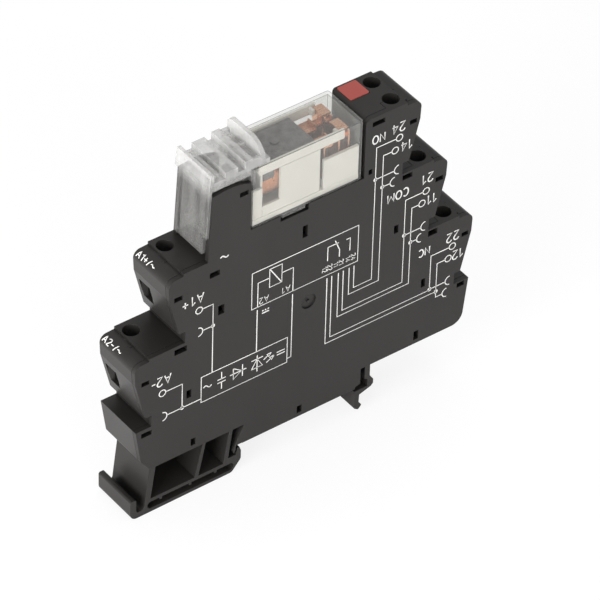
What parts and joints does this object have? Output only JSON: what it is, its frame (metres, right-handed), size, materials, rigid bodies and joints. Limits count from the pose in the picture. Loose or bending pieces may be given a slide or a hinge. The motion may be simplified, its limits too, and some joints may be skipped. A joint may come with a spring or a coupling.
{
  "type": "interface relay",
  "caption": "Narrow stepped relay module for a mounting rail, with screw clamps, a clear plug-in relay and a swinging retaining clip.",
  "frame": {"origin": "centre of the seat that rests on the mounting rail", "axes": "+X along the module from the coil side to the contact side, +Y across its width away from the printed side, +Z away from the rail"},
  "size_m": [0.0895, 0.0128, 0.0878],
  "materials": {
    "dark_plastic": "fine moulded texture",
    "grey_plastic": "fine moulded texture with pale print",
    "clear_plastic": "clear, slightly milky",
    "clip_plastic": "translucent",
    "red_plastic": "moulded",
    "white_plastic": "moulded",
    "board_laminate": "solder resist",
    "component_plastic": "moulded",
    "led_resin": "clear tinted",
    "copper_alloy": "bright copper alloy",
    "plated_steel": "zinc plated",
    "soft_iron": "nickel plated",
    "coil_wire": "enamelled copper wire"
  },
  "bodies": {
    "module": {"housing": "dark_plastic", "side_cover": "grey_plastic", "red_marker_tag": "red_plastic", "circuit_board": "board_laminate", "film_capacitor": "component_plastic", "bridge_rectifier": "component_plastic", "smoothing_capacitor": "component_plastic", "board_resistors": "component_plastic", "status_led": "led_resin", "busbar_22": "copper_alloy", "busbar_12": "copper_alloy", "busbar_21": "copper_alloy", "busbar_11": "copper_alloy", "busbar_24": "copper_alloy", "busbar_14": "copper_alloy", "busbar_a1": "copper_alloy", "busbar_a2": "copper_alloy", "coil_socket_near": "copper_alloy", "coil_socket_far": "copper_alloy"},
    "clip": {"retaining_clip": "clip_plastic"},
    "relay": {"relay_base": "white_plastic", "relay_cover": "clear_plastic", "coil_bobbin": "white_plastic", "coil_winding": "coil_wire", "coil_hood": "white_plastic", "coil_core": "soft_iron", "magnet_yoke": "soft_iron", "coil_pins": "copper_alloy", "closed_contact_near": "copper_alloy", "open_contact_near": "copper_alloy", "common_terminal_near": "copper_alloy", "closed_contact_far": "copper_alloy", "open_contact_far": "copper_alloy", "common_terminal_far": "copper_alloy"},
    "armature": {"armature": "soft_iron"},
    "card": {"pusher_card": "white_plastic"},
    "spring_near": {"contact_spring_near": "copper_alloy"},
    "spring_far": {"contact_spring_far": "copper_alloy"},
    "screw_22": {"clamp_screw_22": "plated_steel"},
    "yoke_22": {"clamp_yoke_22": "plated_steel"},
    "screw_12": {"clamp_screw_12": "plated_steel"},
    "yoke_12": {"clamp_yoke_12": "plated_steel"},
    "screw_21": {"clamp_screw_21": "plated_steel"},
    "yoke_21": {"clamp_yoke_21": "plated_steel"},
    "screw_11": {"clamp_screw_11": "plated_steel"},
    "yoke_11": {"clamp_yoke_11": "plated_steel"},
    "screw_24": {"clamp_screw_24": "plated_steel"},
    "yoke_24": {"clamp_yoke_24": "plated_steel"},
    "screw_14": {"clamp_screw_14": "plated_steel"},
    "yoke_14": {"clamp_yoke_14": "plated_steel"},
    "screw_a1": {"clamp_screw_a1": "plated_steel"},
    "yoke_a1": {"clamp_yoke_a1": "plated_steel"},
    "screw_a2": {"clamp_screw_a2": "plated_steel"},
    "yoke_a2": {"clamp_yoke_a2": "plated_steel"}
  },
  "joints": [
    {"name": "clip_swing", "type": "hinge", "parent": "module", "child": "clip", "pos_m": [-0.0225, 0, 0.0602], "axis": [0, -1, 0], "range_deg": [0, 35]},
    {"name": "relay_lift", "type": "slide", "parent": "module", "child": "relay", "axis": [0, 0, 1], "range_m": [0, 0.0058]},
    {"name": "armature_tilt", "type": "hinge", "parent": "relay", "child": "armature", "pos_m": [-0.0128, 0, 0.0603], "axis": [0, 1, 0], "range_deg": [0, 2.8], "stiffness_Nm_per_rad": 0.002, "springref_deg": -2.86},
    {"name": "card_slide", "type": "slide", "parent": "relay", "child": "card", "axis": [1, 0, 0], "range_m": [0, 0.0006]},
    {"name": "spring_bend_near", "type": "hinge", "parent": "relay", "child": "spring_near", "pos_m": [0.0089, 0, 0.0623], "axis": [0, 1, 0], "range_deg": [0, 3.6]},
    {"name": "spring_bend_far", "type": "hinge", "parent": "relay", "child": "spring_far", "pos_m": [0.0089, 0, 0.0623], "axis": [0, 1, 0], "range_deg": [0, 3.6]},
    {"name": "screw_turn_22", "type": "hinge", "parent": "module", "child": "screw_22", "pos_m": [0.03875, -0.0033, 0.03095], "axis": [0, 0, 1], "range_deg": [-1440, 0]},
    {"name": "yoke_lift_22", "type": "slide", "parent": "module", "child": "yoke_22", "axis": [0, 0, 1], "range_m": [0, 0.002]},
    {"name": "screw_turn_12", "type": "hinge", "parent": "module", "child": "screw_12", "pos_m": [0.03875, 0.0033, 0.03095], "axis": [0, 0, 1], "range_deg": [-1440, 0]},
    {"name": "yoke_lift_12", "type": "slide", "parent": "module", "child": "yoke_12", "axis": [0, 0, 1], "range_m": [0, 0.002]},
    {"name": "screw_turn_21", "type": "hinge", "parent": "module", "child": "screw_21", "pos_m": [0.03095, -0.0033, 0.05], "axis": [0, 0, 1], "range_deg": [-1440, 0]},
    {"name": "yoke_lift_21", "type": "slide", "parent": "module", "child": "yoke_21", "axis": [0, 0, 1], "range_m": [0, 0.002]},
    {"name": "screw_turn_11", "type": "hinge", "parent": "module", "child": "screw_11", "pos_m": [0.03095, 0.0033, 0.05], "axis": [0, 0, 1], "range_deg": [-1440, 0]},
    {"name": "yoke_lift_11", "type": "slide", "parent": "module", "child": "yoke_11", "axis": [0, 0, 1], "range_m": [0, 0.002]},
    {"name": "screw_turn_24", "type": "hinge", "parent": "module", "child": "screw_24", "pos_m": [0.02315, -0.0033, 0.06905], "axis": [0, 0, 1], "range_deg": [-1440, 0]},
    {"name": "yoke_lift_24", "type": "slide", "parent": "module", "child": "yoke_24", "axis": [0, 0, 1], "range_m": [0, 0.002]},
    {"name": "screw_turn_14", "type": "hinge", "parent": "module", "child": "screw_14", "pos_m": [0.02315, 0.0033, 0.06905], "axis": [0, 0, 1], "range_deg": [-1440, 0]},
    {"name": "yoke_lift_14", "type": "slide", "parent": "module", "child": "yoke_14", "axis": [0, 0, 1], "range_m": [0, 0.002]},
    {"name": "screw_turn_a1", "type": "hinge", "parent": "module", "child": "screw_a1", "pos_m": [-0.02975, 0.0033, 0.05], "axis": [0, 0, 1], "range_deg": [-1440, 0]},
    {"name": "yoke_lift_a1", "type": "slide", "parent": "module", "child": "yoke_a1", "axis": [0, 0, 1], "range_m": [0, 0.002]},
    {"name": "screw_turn_a2", "type": "hinge", "parent": "module", "child": "screw_a2", "pos_m": [-0.03825, 0.0033, 0.03095], "axis": [0, 0, 1], "range_deg": [-1440, 0]},
    {"name": "yoke_lift_a2", "type": "slide", "parent": "module", "child": "yoke_a2", "axis": [0, 0, 1], "range_m": [0, 0.002]}
  ],
  "couplings": [
    {"joint": "clip_swing", "follows": "relay_lift", "rad_per_m": 105.26},
    {"joint": "armature_tilt", "follows": "card_slide", "rad_per_m": 80.645},
    {"joint": "spring_bend_near", "follows": "card_slide", "rad_per_m": 95.97},
    {"joint": "spring_bend_far", "follows": "card_slide", "rad_per_m": 95.97},
    {"joint": "screw_turn_22", "follows": "yoke_lift_22", "rad_per_m": -12566},
    {"joint": "screw_turn_12", "follows": "yoke_lift_12", "rad_per_m": -12566},
    {"joint": "screw_turn_21", "follows": "yoke_lift_21", "rad_per_m": -12566},
    {"joint": "screw_turn_11", "follows": "yoke_lift_11", "rad_per_m": -12566},
    {"joint": "screw_turn_24", "follows": "yoke_lift_24", "rad_per_m": -12566},
    {"joint": "screw_turn_14", "follows": "yoke_lift_14", "rad_per_m": -12566},
    {"joint": "screw_turn_a1", "follows": "yoke_lift_a1", "rad_per_m": -12566},
    {"joint": "screw_turn_a2", "follows": "yoke_lift_a2", "rad_per_m": -12566}
  ]
}
